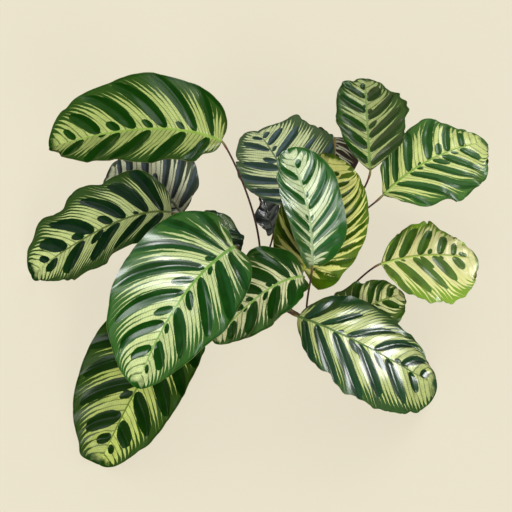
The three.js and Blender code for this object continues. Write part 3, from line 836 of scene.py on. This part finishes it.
def shell_mesh(name, shells, marks=None):
    """Closed shells in one mesh. Each is a stack of rings, with a fan over both ends to the middle
    of the end ring. marks are named values, one for each ring of the first shell."""
    points, faces, first = [], [], 0
    for rings in shells:
        count, sides = rings.shape[:2]
        number = first + np.arange(count * sides).reshape(count, sides)
        beside = np.roll(number, -1, axis=1)
        walls = np.stack([number[:-1], beside[:-1], beside[1:], number[1:]], -1)
        start = np.full(sides, first + count * sides)
        end = start + 1
        faces += walls.reshape(-1, 4).tolist()
        faces += np.stack([start, beside[0], number[0]], -1).tolist()
        faces += np.stack([end, number[-1], beside[-1]], -1).tolist()
        points += [rings.reshape(-1, 3), rings[0].mean(0)[None], rings[-1].mean(0)[None]]
        first += count * sides + 2
    sides = shells[0].shape[1]
    every = {key: np.concatenate([np.repeat(values, sides), values[:1], values[-1:]])
             for key, values in (marks or {}).items()}
    return new_mesh(name, np.concatenate(points), faces, every)


def stalk_material():
    """Dark purple-brown with fine specks, greener at the sheath, and orange-green at the joint
    below the blade."""
    material, tree = new_material("stalk")
    from_foot, to_blade = mark(tree, "from_foot"), mark(tree, "to_blade")
    speck = noise(tree, 500, 3)
    brown = mixed(rise(speck, 0.35, 0.7), "#3A2328", "#5D423C")
    sheath = mixed(rise(speck, 0.3, 0.7), "#5B5A2C", "#6B4A3A")
    joint = mixed(rise(to_blade, 9, 1), "#6E4636", "#76743C")
    colour = mixed(rise(from_foot, SHEATH_LENGTH, SHEATH_CORE), brown, sheath)
    colour = mixed(rise(to_blade, JOINT_LENGTH + 2, JOINT_LENGTH - 3), colour, joint)
    roughness = scaled(speck, 0.2, 0.35)
    normal = node(tree, "Bump", {"Strength": 0.4, "Distance": 0.3 * MM, "Height": speck})
    finish_material(tree, colour, roughness, normal)
    return material


stalk_skin = stalk_material()
for number, leaf in enumerate(LEAVES, 1):
    path = stalk_route(leaf, np.linspace(0, 1, STALK_RINGS))
    steps = np.linalg.norm(np.diff(path, axis=0), axis=1)
    from_foot = np.concatenate([[0], np.cumsum(steps)])
    to_blade = from_foot[-1] - from_foot
    rings = rings_round(path, stalk_radius(from_foot, to_blade))
    name = f"petiole_{number:02d}"
    mesh = shell_mesh(name, [rings], dict(from_foot=from_foot, to_blade=to_blade))
    add_piece(name, mesh, stalk_skin, f"stalk_{number:02d}")

# The rootstock: two knobs of rhizome, one for each shoot, and the runner that joins them. It is
# fibrous and brown, ringed by the scars of old leaves, and cut flat below, where the roots were.
KNOBS = dict(main=dict(radius=22, height=20), side=dict(radius=11.5, height=16.5))
KNOB_RINGS = 72
KNOB_SIDES = 96
KNOB_ROUNDNESS = 3.2
CUT_FACE = 0.6
LUMPS = (2, 3, 5, 8)
LUMP_HEIGHT = 0.022
SCAR_SPACING = 3.0
SCAR_TILT = 0.6
SCAR_HEIGHT = 0.5
ROOT_STUBS = 9
STUB_HEIGHT = 1.3
STUB_SPREAD = 1.2
STUB_LEVELS = (2, 6)
RUNNER_ROUTE = np.array([(14, -12, 4.5), (33, -22, 4), (44, -30, 4), (48, -38, 4.5)], float)
RUNNER_RINGS = 60
RUNNER_RADIUS = 2.6
RUNNER_SWELLING = 0.1
SMOOTHINGS = 40


def knob_rings(centre, radius, height, rng):
    """Rings at height z have the radius r (1 - (z/height)^roundness)^(1/2), with low lumps round
    them, a ridge each scar spacing, and small stubs of cut roots near the floor."""
    climb = np.linspace(0, pi / 2, KNOB_RINGS)
    around = 2 * pi * np.arange(KNOB_SIDES) / KNOB_SIDES
    climb, turn = np.meshgrid(climb, around, indexing="ij")
    z = height * np.sin(climb)
    out = radius * np.sqrt(1 - np.sin(climb) ** KNOB_ROUNDNESS)
    lumps = sum(np.sin(k * turn + rng.uniform(0, 2 * pi)) / k for k in LUMPS)
    tilted = z + SCAR_TILT * np.sin(2 * turn + rng.uniform(0, 2 * pi))
    ridges = np.abs(np.sin(pi * tilted / SCAR_SPACING)) ** 3
    stubs = np.zeros(z.shape)
    for _ in range(ROOT_STUBS):
        apart = np.angle(np.exp(1j * (turn - rng.uniform(0, 2 * pi)))) * radius
        level = z - rng.uniform(*STUB_LEVELS)
        stubs += np.exp(-((apart ** 2 + level ** 2) / STUB_SPREAD) ** 2)
    thick = np.clip(out / (0.35 * radius), 0, 1)
    relief = LUMP_HEIGHT * radius * lumps - SCAR_HEIGHT * ridges + STUB_HEIGHT * stubs
    out = out + thick * relief
    rings = np.stack([out * np.cos(turn), out * np.sin(turn), z], -1)
    floor_ring = rings[:1] * (CUT_FACE, CUT_FACE, 0)
    return np.concatenate([floor_ring, rings]) + centre


def runner_rings():
    """The runner's rings, round the straight stretches of its route with their corners smoothed
    away, a little thicker at its nodes."""
    last = len(RUNNER_ROUTE) - 1
    share = np.linspace(0, last, RUNNER_RINGS)
    path = np.stack([np.interp(share, range(last + 1), values) for values in RUNNER_ROUTE.T], -1)
    for _ in range(SMOOTHINGS):
        path[1:-1] = (path[:-2] + 2 * path[1:-1] + path[2:]) / 4
    swelling = 1 + RUNNER_SWELLING * np.abs(np.sin(pi * share * 2.5)) ** 6
    return rings_round(path, RUNNER_RADIUS * swelling)


def rhizome_material():
    """Rough brown: dark rings at the scars, paler fibres, and a cream cut face below."""
    material, tree = new_material("rhizome")
    place = node(tree, "TexCoord", output=3)
    height = node(tree, "SeparateXYZ", [place], output=2)
    mottle = noise(tree, 220, 4, 0.65)
    upright = node(tree, "Mapping", {"Vector": place, "Scale": (700, 700, 90)})
    fibres = noise(tree, 1.0, 3, 0.6, upright)
    rings = scaled(height, 2 * pi / (SCAR_SPACING * MM))
    rings = calc("SINE", scaled(mottle, 2.2, rings))
    scars = scaled(rise(rings, 0.35, 0.95), 0.7)
    pale_fibres = scaled(rise(fibres, 0.5, 0.7), 0.5)
    colour = mixed(rise(mottle, 0.3, 0.7), "#6B4E33", "#94764E")
    colour = mixed(pale_fibres, colour, "#A98C60")
    colour = mixed(scars, colour, "#3E2A1C")
    colour = mixed(rise(height, 0.8 * MM, 0.2 * MM), colour, "#C9B58C")
    roughness = scaled(mottle, 0.2, 0.68)
    relief = scaled(fibres, 0.6, mottle)
    normal = node(tree, "Bump", {"Strength": 0.8, "Distance": 0.6 * MM, "Height": relief})
    finish_material(tree, colour, roughness, normal)
    return material


rng = np.random.default_rng(40)
knobs = [knob_rings(SHOOT_CENTRES[name], rng=rng, **size) for name, size in KNOBS.items()]
rhizome = shell_mesh("rhizome", [*knobs, runner_rings()])
add_piece("rhizome", rhizome, rhizome_material(), "rootstock")

# The floor, not part of the plant: one plain, matt, pale sheet that it rests on. It gives some
# light of its own, so that the plant's shadow on it stays faint.
FLOOR_SIZE = 30.0
FLOOR_GLOW = 0.82
corner = FLOOR_SIZE / 2
floor_mesh = bpy.data.meshes.new("floor")
floor_mesh.from_pydata(
    [(-corner, -corner, 0), (corner, -corner, 0), (corner, corner, 0), (-corner, corner, 0)],
    [], [(0, 1, 2, 3)])
floor = bpy.data.objects.new("floor", floor_mesh)
bpy.context.scene.collection.objects.link(floor)
floor_paint, tree = new_material("floor")
plain = noise(tree, 3)
cream = mixed(plain, "#6C695E", "#6B685D")
matt = scaled(plain, 0.05, 0.9)
finish_material(tree, cream, matt, Specular_IOR_Level=0.0,
                Emission_Color=paint("#EBE3CC"), Emission_Strength=FLOOR_GLOW)
floor_mesh.materials.append(floor_paint)
floor.visible_glossy = False

# The studio's light: wide, soft suns round the plant, and behind it a pale backdrop that only the
# camera sees. A sun without shine gives no reflections, and one without fill gives only those.
LAMP_DISTANCE = 2.0
LAMPS = [  # name, azimuth, elevation, width, strength, whether it shines, whether it fills
    ("front", 158, 34, 18, 1.4, True, True),
    ("front_left", -160, 30, 32, 1.3, True, True),
    ("left", -90, 25, 10, 0.2, True, True),
    ("right", 70, 8, 18, 1.1, True, False),
    ("back_right", 47, 30, 18, 0.9, True, False),
    ("ceiling", 0, 75, 70, 0.8, False, True),
    ("back", 10, 35, 60, 0.9, False, True),
    ("dome", 0, 89, 178, 0.55, False, True),
]
for name, azimuth, elevation, width, strength, shines, fills in LAMPS:
    light = bpy.data.lights.new(name, "SUN")
    light.angle = radians(width)
    light.energy = strength
    sun = aimed("lamp_" + name, light, from_target(LAMP_DISTANCE, azimuth, elevation))
    sun.visible_glossy = shines
    sun.visible_diffuse = fills

sky = bpy.data.worlds.new("sky")
sky.use_nodes = True
backdrop = sky.node_tree.nodes["Background"]
backdrop.inputs["Color"].default_value = paint("#EBE4CB")
for rays in ("diffuse", "glossy", "transmission"):
    setattr(sky.cycles_visibility, rays, False)
bpy.context.scene.world = sky
bpy.context.scene.view_settings.view_transform = "Standard"
